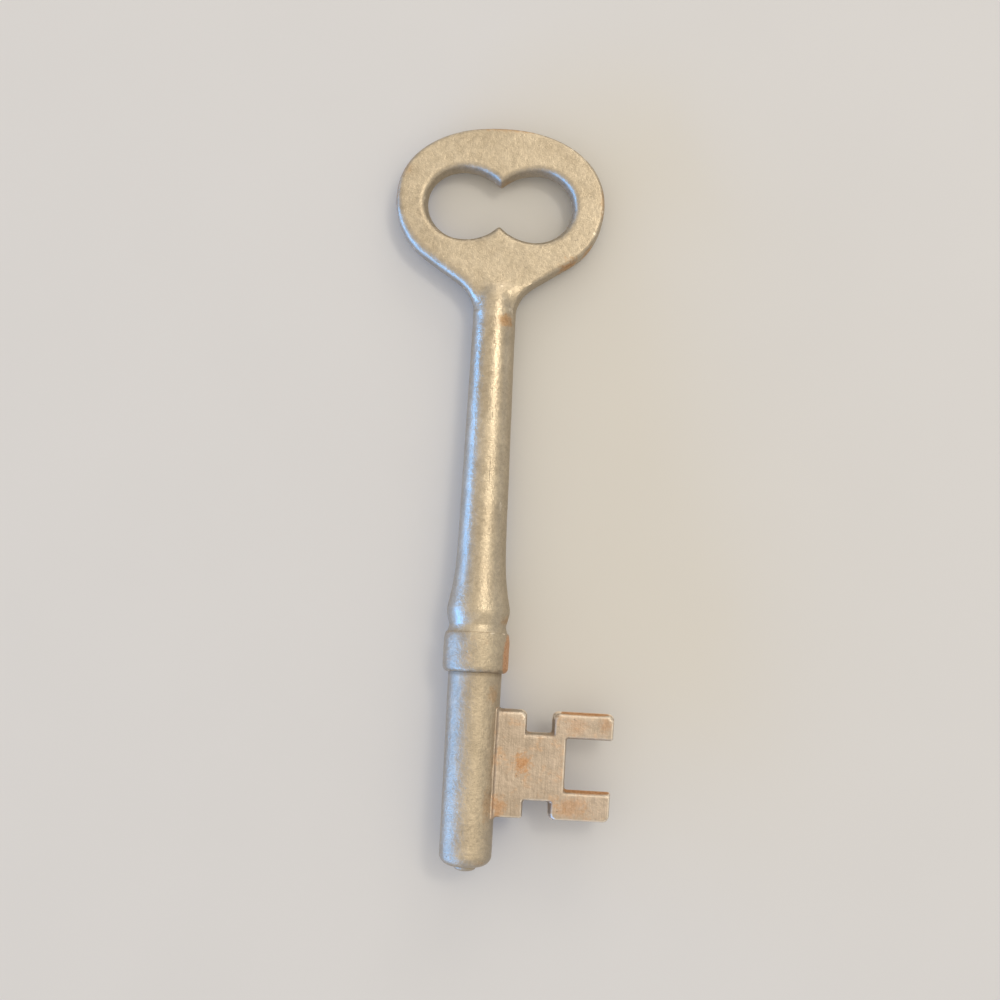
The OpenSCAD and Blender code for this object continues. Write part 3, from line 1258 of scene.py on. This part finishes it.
    def filling(self, at: Vector, normal: Vector) -> float:
        """Measure how far the front's crease is filled on the nose's right.

        Args:
            at: A place on the skin.
            normal: The skin's direction there.

        Returns:
            The filling in millimetres, 0 anywhere else.
        """
        up = at.y - self.foot
        over = (at.y - self.nose_y) / self.nose_l
        if min(at.x, at.z, up, self.fillet_r - up, 1.0 - over) <= 0.0:
            return 0.0
        rise = self.neck_r * math.sqrt(1.0 - max(0.0, over) ** 2) - self.thick / 2
        wide = self.fillet[0] - math.sqrt(self.fillet_r**2 - up * up) - 0.35
        if rise <= 0.0 or at.x >= wide:
            return 0.0
        aim = self.thick / 2 + rise * (1.0 - (at.x / wide) ** 2) ** 1.5
        return self.filled * max(0.0, aim - at.z) * max(0.0, normal.z)

    def dents(self, at: Vector, normal: Vector) -> float:
        """Measure the casting's own marks, with one small crater on the front of the nose.

        Args:
            at: A place on the skin.
            normal: The skin's direction there; not used.

        Returns:
            How far the skin stands out, in millimetres.
        """
        marks = self.waves.height(at)
        if at.z > 0:
            away = math.hypot((at.x - self.crater[0]) / 1.2, at.y - self.crater[1])
            marks -= self.crater_depth * ease(*self.crater_r, away)
        return marks * ease(self.neck_y, self.neck_y + 1.4, at.y)

    def build(self) -> bpy.types.Object:
        """Cast plate and neck in one skin, rub and mark it, and saw the neck off at its joint.

        Returns:
            The dressed bow.
        """
        blank = Blank()
        self.plate(blank)
        neck = Outline((0.0, self.neck_y - self.spare)).line((self.neck_r, self.neck_y - self.spare))
        neck.line((self.neck_r, self.neck_y))
        neck.arc((0.0, self.nose_y), (self.neck_r, self.nose_l), 0.0, 90.0, 24)
        blank.turn(neck.points, self.neck_sides)
        blank.remesh(self.voxel)
        blank.rub(3, lambda at: True)
        for reach, times in self.crease_strokes:
            blank.rub(times, self.near_crease(reach))
        blank.swell(self.filling)
        blank.rub(8, self.near_crease(1.5))
        blank.swell(self.dents)
        blank.saw_off(self.neck_y)
        blank.close_up()
        return self.dress(blank.finish("bow_casting"))


@dataclass
class Stem(Piece):
    """The tapered round shank with its bead and groove.

    Heights are measured up from the collar's top. The bead dies into the shank over the fade.
    """

    node: str = "stem"
    slot: str = "nickel"
    finish: NickelPlate = field(
        default_factory=lambda: NickelPlate(
            "stem_nickel",
            Cut.CAST,
            joints=(4.85, 41.0),
            roughness=0.41,
            stains=(
                Stain((3.2, 6.4, 1.0), (0.8, 0.7, 1.6), 0.45),
                Stain((1.9, 26.0, -2.0), (1.0, 2.6, 1.0), 0.5),
                Stain((-1.4, 12.0, -2.6), (1.6, 1.9, 1.2), 0.5),
            ),
            seams=(Seam((0.5, 24.0, 2.8), 2.2, 0.05, 0.45), Seam((0.45, 30.8, 2.7), 0.5, 0.05, 0.4)),
        )
    )
    bottom: float = 4.85
    length: float = 36.15
    top_r: float = 2.6
    low_r: float = 3.06
    foot_r: float = 3.65
    groove_r: float = 3.45
    groove_h: float = 0.85
    bead_r: float = 3.83
    bead_h: float = 2.6
    bead_full: float = 0.55
    fade: float = 1.6
    sides: int = 144
    waves: Waves = Waves(((0.03, 4.3, 11.0), (0.014, 1.3, 5.0)), 0.03)

    def shank_r(self, h: float) -> float:
        """Work out the radius from the bead upwards.

        Args:
            h: Height above the collar, in millimetres.

        Returns:
            The radius.
        """
        s = (h - self.bead_h) / (self.length - self.bead_h)
        u = (h - self.bead_h) / self.fade
        swell = (self.bead_r - self.low_r) * (1.0 + u) * math.exp(-u)
        return self.low_r * (1.0 - s) + self.top_r * s + swell * (1.0 - s)

    def groove_point(self, s: float) -> Pair:
        """Return a point of the groove, from the foot at 0 to the bead at 1."""
        radius = self.groove_r + (self.foot_r - self.groove_r) * (1.0 - s) ** 2
        return (radius, self.bottom + self.groove_h * s)

    def bead_point(self, s: float) -> Pair:
        """Find a point of the bead's lower side.

        Args:
            s: 0 in the groove, 1 at the bead's widest.

        Returns:
            The point.
        """
        rise = (1.0 - self.bead_full) * ease(0.0, 1.0, s) + self.bead_full * (2.0 - s) * s
        radius = self.groove_r + (self.bead_r - self.groove_r) * rise
        return (radius, self.bottom + self.groove_h + (self.bead_h - self.groove_h) * s)

    def shank_point(self, s: float) -> Pair:
        """Return a point of the shank, from the bead at 0 to the top at 1."""
        h = self.bead_h + (self.length - self.bead_h) * s
        return (self.shank_r(h), self.bottom + h)

    def dents(self, at: Vector, normal: Vector) -> float:
        """Measure the casting's own marks, which die out at both ends.

        Args:
            at: A place on the skin.
            normal: The skin's direction there; not used.

        Returns:
            How far the skin stands out, in millimetres.
        """
        ends = ease(self.bottom + 0.1, self.bottom + 1.4, at.y)
        ends *= ease(self.bottom + self.length, self.bottom + self.length - 1.5, at.y)
        return ends * self.waves.height(at)

    def build(self) -> bpy.types.Object:
        """Turn the stem from the collar to the neck, and mark its skin.

        Returns:
            The dressed stem.
        """
        drawn = Outline((0.0, self.bottom)).line((self.foot_r, self.bottom))
        drawn.curve(self.groove_point, 8)
        drawn.curve(self.bead_point, 12)
        drawn.curve(self.shank_point, 110)
        drawn.line((0.0, self.bottom + self.length))
        blank = Blank()
        blank.turn(drawn.points, self.sides)
        blank.swell(self.dents)
        return self.dress(blank.finish("stem_casting"))


@dataclass
class Collar(Piece):
    """The shoulder ring that stops the key against the lock."""

    node: str = "collar"
    slot: str = "nickel_worn"
    finish: NickelPlate = field(
        default_factory=lambda: NickelPlate(
            "collar_nickel",
            Cut.TURNED,
            relief=1.8,
            rough_sides=-0.07,
            roughness=0.52,
            light=(0.63, 0.55, 0.425),
            coppery=0.15,
            rust=(0.55, 0.28, 0.14),
            copper=(0.76, 0.47, 0.29),
            # Rubbed edges, which also paint a highlight on the top round
            edges=0.6,
            stains=(
                Stain((4.3, 1.5, 0.6), (1.15, 4.2, 6.5), 0.9, 0.2),
                Stain((0.6, 5.4, 3.4), (3.0, 0.8, 1.2), 0.35),
                Stain((-2.6, 1.2, -3.0), (1.4, 1.0, 1.2), 0.5),
            ),
        )
    )
    radius: float = 4.0
    height: float = 4.85
    bevel: float = 0.75
    round_h: float = 1.3
    top_r: float = 3.65
    bore_r: float = 1.95
    sides: int = 144
    waves: Waves = Waves(((0.02, 2.6, 3.0), (0.01, 0.9, 9.0)), 0.03)

    def dents(self, at: Vector, normal: Vector) -> float:
        """Measure the ring's own marks, with none in its bore and none where it meets its neighbours.

        Args:
            at: A place on the skin.
            normal: The skin's direction there; not used.

        Returns:
            How far the skin stands out, in millimetres.
        """
        if math.hypot(at.x, at.z) < self.bore_r + 0.5:
            return 0.0
        inside = ease(0.0, 0.8, at.y) * ease(self.height, self.height - 0.8, at.y)
        return inside * self.waves.height(at)

    def build(self) -> bpy.types.Object:
        """Turn the ring: a bevelled foot, a straight land and a rounded top.

        Returns:
            The dressed collar.
        """
        low_r = self.radius - self.bevel
        top_in = self.radius - self.top_r
        drawn = Outline((self.bore_r, 0.0)).line((low_r, 0.0))
        drawn.arc((low_r, self.bevel), (self.bevel, self.bevel), -90.0, 0.0, 14)
        drawn.curve(lambda s: (self.radius, self.bevel + (self.height - self.round_h - self.bevel) * s), 12)
        drawn.arc((self.top_r, self.height - self.round_h), (top_in, self.round_h), 0.0, 90.0, 16)
        drawn.line((self.bore_r, self.height)).line((self.bore_r, 0.0))
        blank = Blank()
        blank.turn(drawn.points, self.sides)
        blank.swell(self.dents)
        return self.dress(blank.finish("collar_ring"))


@dataclass
class Post(Piece):
    """The round pin that enters the keyhole, with its slot for the bit and its pilot end."""

    node: str = "post"
    slot: str = "nickel"
    finish: NickelPlate = field(
        default_factory=lambda: NickelPlate(
            "post_nickel",
            Cut.TURNED,
            relief=1.8,
            rough_sides=-0.07,
            roughness=0.54,
            light=(0.65, 0.56, 0.43),
            joints=(0.0,),
            # A painted shadow under the collar, along the post's top
            joint_shadow=0.35,
            stains=(
                Stain((2.3, -2.6, 2.0), (0.9, 1.6, 1.2), 0.4),
                Stain((2.2, -16.0, 2.2), (0.7, 2.6, 1.2), 0.35),
                Stain((1.2, -22.6, 1.6), (1.5, 0.7, 1.4), 0.35),
                Stain((-1.6, -8.0, -2.6), (1.2, 2.2, 1.2), 0.5),
            ),
        )
    )
    top_r: float = 3.24
    radius: float = 3.2
    spigot_r: float = 1.9
    spigot_top: float = 12.85
    land_y: float = -17.55
    tip_y: float = -21.95
    tip_h: float = 1.5
    pip_r: float = 1.4
    pip_h: float = 0.6
    line_y: float = -21.75
    line_w: float = 0.16
    line_depth: float = 0.03
    slot_x: float = 1.4
    slot_y: Pair = (-17.35, -4.05)
    slot_half: float = 1.35
    sides: int = 128
    waves: Waves = Waves(((0.014, 3.4, 21.0), (0.008, 1.1, 4.0)), 0.02)

    def mill_slot(self, blank: Blank) -> None:
        """Cut the slot that the bit's tongue sits in.

        Args:
            blank: The turned post.
        """
        low, high = self.slot_y
        cutter = Blank()
        bmesh.ops.create_cube(cutter.bm, size=1.0)
        size = Matrix.Diagonal((self.radius * 2.0, high - low, 2.0 * self.slot_half, 1.0))
        place = Matrix.Translation((self.slot_x + self.radius, (low + high) / 2.0, 0.0))
        bmesh.ops.transform(cutter.bm, matrix=place @ size, verts=cutter.bm.verts[:])
        blank.cut_away(cutter)

    def dents(self, at: Vector, normal: Vector) -> float:
        """Measure the post's own marks, with a fine turned line above the tip.

        Args:
            at: A place on the skin.
            normal: The skin's direction there; not used.

        Returns:
            How far the skin stands out, in millimetres.
        """
        if at.y > -0.3:
            return 0.0
        line = self.line_depth * ease(self.line_w, 0.0, abs(at.y - self.line_y))
        return (self.waves.height(at) - line) * ease(-0.3, -1.2, at.y)

    def build(self) -> bpy.types.Object:
        """Turn the post with its spigot and its tip, and mill the slot.

        Returns:
            The dressed post.
        """
        tip_in = self.radius - self.pip_r
        drawn = Outline((0.0, self.spigot_top)).line((self.spigot_r, self.spigot_top))
        drawn.line((self.spigot_r, 0.0)).line((self.top_r, 0.0))
        drawn.curve(lambda s: (self.top_r + (self.radius - self.top_r) * s, self.land_y * s), 50)
        drawn.curve(lambda s: (self.radius, self.land_y + (self.tip_y - self.land_y) * s), 44)
        drawn.arc((self.pip_r, self.tip_y), (tip_in, -self.tip_h), 0.0, 90.0, 16)
        drawn.arc((0.0, self.tip_y - self.tip_h), (self.pip_r, -self.pip_h), 12.0, 90.0, 8)
        blank = Blank()
        blank.turn(drawn.points, self.sides)
        blank.swell(self.dents)
        self.mill_slot(blank)
        return self.dress(blank.finish("post_pin"))


@dataclass
class Bit(Piece):
    """The flat web with its notches and prongs, cast with draft and let into the post.

    Two prongs with a slot between them reach away from the post, and a notch stands between the root
    and each prong. The walls towards the post and the bow are worn back near the faces. The lines
    that the web is scored along are closest where its root flares into the post.
    """

    node: str = "bit"
    slot: str = "nickel_worn"
    finish: NickelPlate = field(
        default_factory=lambda: NickelPlate(
            "bit_nickel",
            Cut.FILED,
            relief=1.4,
            roughness=0.47,
            coppery=0.45,
            # Bright rubbed edges, which also paint the highlight along the web's edges
            bright=(0.93, 0.84, 0.72),
            light=(0.625, 0.525, 0.435),
            dull=(0.48, 0.4, 0.325),
            copper=(0.72, 0.43, 0.23),
            rust=(0.55, 0.28, 0.11),
            root=3.6,
            edges=0.8,
            edge_from=(0.507, 0.538),
            stains=(
                Stain((6.3, -10.6, 1.3), (1.3, 1.8, 1.4), 0.9, 1.2),
                Stain((3.7, -15.9, 1.3), (1.2, 1.6, 1.4), 0.6),
                Stain((12.3, -15.6, 1.3), (2.6, 1.6, 1.4), 0.5),
                Stain((12.6, -5.8, 1.3), (1.6, 1.5, 1.4), 0.3),
                Stain((16.0, -5.4, 1.3), (0.9, 1.5, 1.4), 0.4),
                # The prongs' top walls: copper showing through, at full strength so that it also paints the
                # light these walls catch
                Stain((14.2, -13.6, 0.3), (3.6, 0.45, 1.6), 1.0, 0.35),
                Stain((13.6, -4.2, 0.3), (3.9, 0.45, 1.6), 1.0, 0.35),
                Stain((9.0, -9.0, -1.3), (2.6, 2.2, 1.2), 0.5),
            ),
        )
    )
    thick: float = 2.6
    draft: float = 0.15
    low: float = -17.3
    top: float = -4.1
    root_x: float = 1.4
    reach: float = 17.1
    notch_x: float = 6.6
    notch_w: float = 3.0
    upper_notch: float = 2.65
    lower_notch: float = 2.2
    slot_x: float = 11.5
    upper_prong: float = 3.3
    lower_prong: float = 3.8
    outer_r: float = 0.8
    inner_r: float = 0.3
    edge_r: float = 0.2
    least_r: float = 0.05
    post_r: float = 3.2
    weld_r: float = 0.4
    worn_walls: Pair = (0.28, 0.3)
    weld_lines: tuple[float, ...] = (2.5, 2.65, 2.8, 2.9, 3.0, 3.1, 3.2, 3.3, 3.4, 3.5, 3.6, 3.75, 3.9)
    web_lines: Pair = (4.3, 0.55)
    web_counts: tuple[int, int] = (32, 31)
    line_gap: float = 0.4
    levels: tuple[float, ...] = (-0.7, -0.35, 0.35, 0.7)
    waves: Waves = Waves(((0.016, 2.2, 13.0),), 0.02)

    def corners(self) -> list[Triple]:
        """List the corners of the web, anticlockwise from the tongue's foot.

        Returns:
            The x, y and radius of each.
        """
        x1, x2, x3, x4 = self.notch_x, self.notch_x + self.notch_w, self.slot_x, self.reach
        low, top, small, large = self.low, self.top, self.inner_r, self.outer_r
        return [
            (self.root_x, low, small),
            (x1, low, small),
            (x1, low + self.lower_notch, small),
            (x2, low + self.lower_notch, small),
            (x2, low, large),
            (x4, low, large),
            (x4, low + self.lower_prong, small),
            (x3, low + self.lower_prong, small),
            (x3, top - self.upper_prong, small),
            (x4, top - self.upper_prong, small),
            (x4, top, large),
            (x2, top, large),
            (x2, top - self.upper_notch, small),
            (x1, top - self.upper_notch, small),
            (x1, top, large),
            (self.root_x, top, small),
        ]

    def inset(self, inward: float, left: Vector, z: float) -> float:
        """Return how far a wall is moved in: those that face -X or +Y are worn back near the faces."""
        worn = self.worn_walls[0] * max(0.0, left.x) + self.worn_walls[1] * max(0.0, -left.y)
        return inward + worn * (2.0 * z / self.thick) ** 2

    def ring(self, inward: float, bend: float, z: float) -> list[Triple]:
        """Return the web's outline at a height.

        Args:
            inward: How far its edges are moved in.
            bend: How much the radius of its corners changes.
            z: The height.

        Returns:
            The ring's points.
        """
        corners = self.corners()
        ring = []
        for i, (x, y, r) in enumerate(corners):
            here = Vector((x, y))
            along = (here - Vector(corners[i - 1][:2])).normalized()
            ahead = (Vector(corners[(i + 1) % len(corners)][:2]) - here).normalized()
            side = 1.0 if along.cross(ahead) > 0 else -1.0
            keep = max(self.least_r, r - side * bend)
            left, left_ahead = Vector((-along.y, along.x)), Vector((-ahead.y, ahead.x))
            shift = self.inset(inward, left, z) * left + self.inset(inward, left_ahead, z) * left_ahead
            centre = here + shift - keep * along + side * keep * left
            start = math.degrees(math.atan2(-side * left.y, -side * left.x))
            bow = Outline((0.0, 0.0)).arc((centre.x, centre.y), (keep, keep), start, start + side * 90.0, 6)
            ring.extend((px, py, z) for px, py in bow.points[1:])
        return ring

    def weld(self, away: float) -> float:
        """Return how far the root's fillet stands out at a distance from the post's skin."""
        short = self.weld_r - min(self.weld_r, max(0.0, away))
        return self.weld_r - math.sqrt(max(0.0, self.weld_r**2 - short**2))

    def flare(self, blank: Blank) -> None:
        """Flare the root into the post, as the casting's fillet does.

        Args:
            blank: The web.
        """
        mid_y = (self.low + self.top) / 2.0
        half = (self.top - self.low) / 2.0
        for vert in blank.bm.verts:
            away = math.hypot(vert.co.x, vert.co.z) - self.post_r
            if away < self.weld_r:
                grow = self.weld(away) * (0.8 + 0.3 * waviness(vert.co, 1.1, 1.0))
                face = ease(0.0, self.thick / 2.0, abs(vert.co.z))
                wall = ease(half - 0.9, half - 0.3, abs(vert.co.y - mid_y))
                vert.co.z += math.copysign(grow * face, vert.co.z)
                vert.co.y += math.copysign(grow * wall, vert.co.y - mid_y)

    def wear(self, at: Vector, normal: Vector) -> float:
        """Measure how far wear and filing lower the skin.

        Args:
            at: A place on the skin.
            normal: The skin's direction there; not used.

        Returns:
            How far the skin stands out, in millimetres, and 0 inside the post.
        """
        if at.x < self.post_r:
            return 0.0
        return self.waves.height(at)

    def web(self) -> Blank:
        """Cast the web from its outline at each height, with its edges rounded towards the faces.

        Returns:
            The closed web.
        """
        half = self.thick / 2.0
        rings = [self.ring(0.0, 0.0, 0.0)]
        for angle in EDGE_ANGLES:
            turn = math.radians(angle)
            z = half - self.edge_r * (1.0 - math.sin(turn))
            bend = self.edge_r * (1.0 - math.cos(turn))
            level = self.ring(self.draft * z / half + bend, bend, z)
            rings = [[(x, y, -z) for x, y, _ in level]] + rings + [level]
        blank = Blank()
        blank.skin(rings)
        bmesh.ops.holes_fill(blank.bm, edges=[e for e in blank.bm.edges if e.is_boundary], sides=0)
        blank.close_up()
        return blank

    def build(self) -> bpy.types.Object:
        """Cast the web, score it finely enough to bend, flare its root and wear its skin.

        Returns:
            The dressed bit.
        """
        blank = self.web()
        first_x, first_y = self.web_lines
        across, along = self.web_counts
        blank.cut_lines(0, self.weld_lines)
        blank.cut_lines(0, [first_x + self.line_gap * i for i in range(across)])
        blank.cut_lines(1, [self.low + first_y + self.line_gap * i for i in range(along)])
        blank.cut_lines(2, self.levels)
        self.flare(blank)
        blank.swell(self.wear)
        return self.dress(blank.finish("bit_web", sharp=42.0))


# Studio


@dataclass
class Camera:
    """The camera at the photograph's viewing angle, over the collar.

    Attributes:
        above: Its place, in millimetres.
        roll: How far it is turned, in degrees.
        lens: Its focal length, in millimetres.
        sensor: The width of its picture behind the lens, in millimetres.
        rise: How far the view's middle is moved up the key, by raising the lens.
        near: The nearest that it sees, in millimetres.
        far: The farthest that it sees, in millimetres.
    """

    above: Triple = (3.02, 0.0, 180.0)
    roll: float = 3.11
    lens: float = 53.64
    sensor: float = 36.0
    rise: float = 21.0
    near: float = 5.0
    far: float = 10000.0

    def build(self) -> bpy.types.Object:
        """Set up the camera and look through it.

        Returns:
            The scene's camera.
        """
        data = bpy.data.cameras.new("camera")
        data.sensor_width = self.sensor
        data.lens = self.lens
        data.shift_y = self.rise / self.above[2] * self.lens / self.sensor
        data.clip_start = self.near * MM
        data.clip_end = self.far * MM
        made = bpy.data.objects.new("camera", data)
        made.location = Vector(self.above) * MM
        made.rotation_euler = (0.0, 0.0, math.radians(self.roll))
        bpy.context.scene.collection.objects.link(made)
        bpy.context.scene.camera = made
        return made


@dataclass(frozen=True)
class Softbox:
    """A large soft lamp that faces the key.

    Attributes:
        name: Name of the lamp.
        at: Its place, in millimetres.
        size: Its width and height, in millimetres.
        power: Its power, in watts.
        colour: Its colour.
        aim: The place that it faces.
    """

    name: str
    at: Triple
    size: Pair
    power: float
    colour: Triple
    aim: Triple = (0.0, 20.0, 0.0)

    def build(self) -> bpy.types.Object:
        """Hang the lamp.

        Returns:
            The lamp.
        """
        data = bpy.data.lights.new(self.name, "AREA")
        data.shape = "RECTANGLE"
        data.size = self.size[0] * MM
        data.size_y = self.size[1] * MM
        data.energy = self.power
        data.color = self.colour
        made = bpy.data.objects.new(self.name, data)
        made.location = Vector(self.at) * MM
        toward = (Vector(self.aim) - Vector(self.at)).to_track_quat("-Z", "Y")
        made.rotation_euler = toward.to_euler()
        bpy.context.scene.collection.objects.link(made)
        return made


@dataclass
class Studio:
    """The pale board, the soft light round it and the lamps.

    Attributes:
        board: The board's finish.
        size: The board's width, in millimetres.
        collar_r: The radius of the collar, which the key rests on.
        collar_top: Where along the key the collar's round land ends.
        neck_rest: Where the neck rests, along the key and square to its faces.
        gap: Air left between the board and the key.
        horizon: Colour of the light from the sides.
        zenith: Colour of the light from above.
        lamps: The softboxes, from the right, the right again, the top and a window on the left.
    """

    board: Board = field(default_factory=Board)
    size: float = 1600.0
    collar_r: float = 4.0
    collar_top: float = 3.55
    neck_rest: Pair = (43.6, -2.6)
    horizon: Triple = (0.58, 0.57, 0.55)
    zenith: Triple = (0.86, 0.77, 0.625)
    gap: float = 0.02
    lamps: tuple[Softbox, ...] = (
        Softbox("key_light", (500.0, 375.0, 1200.0), (850.0, 300.0), 2.1, (1.0, 0.92, 0.78)),
        Softbox("neck_light", (490.0, 425.0, 1200.0), (300.0, 110.0), 1.2, (1.0, 0.93, 0.8)),
        Softbox("top_light", (200.0, 1075.0, 475.0), (750.0, 400.0), 1.9, (1.0, 0.9, 0.75)),
        Softbox("window_light", (-2720.0, -1220.0, 400.0), (5000.0, 760.0), 110.0, (0.07, 0.36, 1.0)),
    )

    def lay_board(self) -> bpy.types.Object:
        """Lay the board under the key, just clear of the collar and the neck.

        Returns:
            The board.
        """
        run = self.neck_rest[0] - self.collar_top
        pitch = math.atan2(self.neck_rest[1] + self.collar_r, run)
        blank = Blank()
        bmesh.ops.create_grid(blank.bm, x_segments=8, y_segments=8, size=self.size / 2.0)
        tilt = Matrix.Rotation(pitch, 4, "X")
        drop = Matrix.Translation((0.0, self.collar_top, -self.collar_r - self.gap))
        bmesh.ops.transform(blank.bm, matrix=drop @ tilt, verts=blank.bm.verts[:])
        floor = blank.finish("board")
        floor.data.materials.append(self.board.material())
        return floor

    def surround(self) -> None:
        """Give the world a soft overhead glow over a pale horizon."""
        world = bpy.data.worlds.new("studio")
        bpy.context.scene.world = world
        world.use_nodes = True
        world.node_tree.nodes.clear()
        g = Graph(world.node_tree)
        height = g.parts(g.node("ShaderNodeTexCoord").outputs["Generated"])[2]
        sky = g.node("ShaderNodeBackground")
        g.feed(sky.inputs["Color"], g.blend(g.step(height, 0.0, 0.95), self.horizon, self.zenith))
        g.feed(sky.inputs["Strength"], 1.0)
        out = g.node("ShaderNodeOutputWorld")
        world.node_tree.links.new(sky.outputs[0], out.inputs["Surface"])

    def build(self) -> None:
        """Set up the stage and the lamps."""
        self.lay_board()
        self.surround()
        for lamp in self.lamps:
            lamp.build()
        bpy.context.scene.view_settings.view_transform = "Standard"
        LOG.info("studio ready")


def main() -> None:
    """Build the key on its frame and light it."""
    logging.basicConfig(level=logging.INFO, format="%(name)s: %(message)s")
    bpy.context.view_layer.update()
    Camera().build()
    for part in (Bow(), Stem(), Collar(), Post(), Bit()):
        piece = part.build()
        LOG.info("%s: %d faces", piece.name, len(piece.data.polygons))
    Studio().build()


if __name__ == "__main__":
    main()
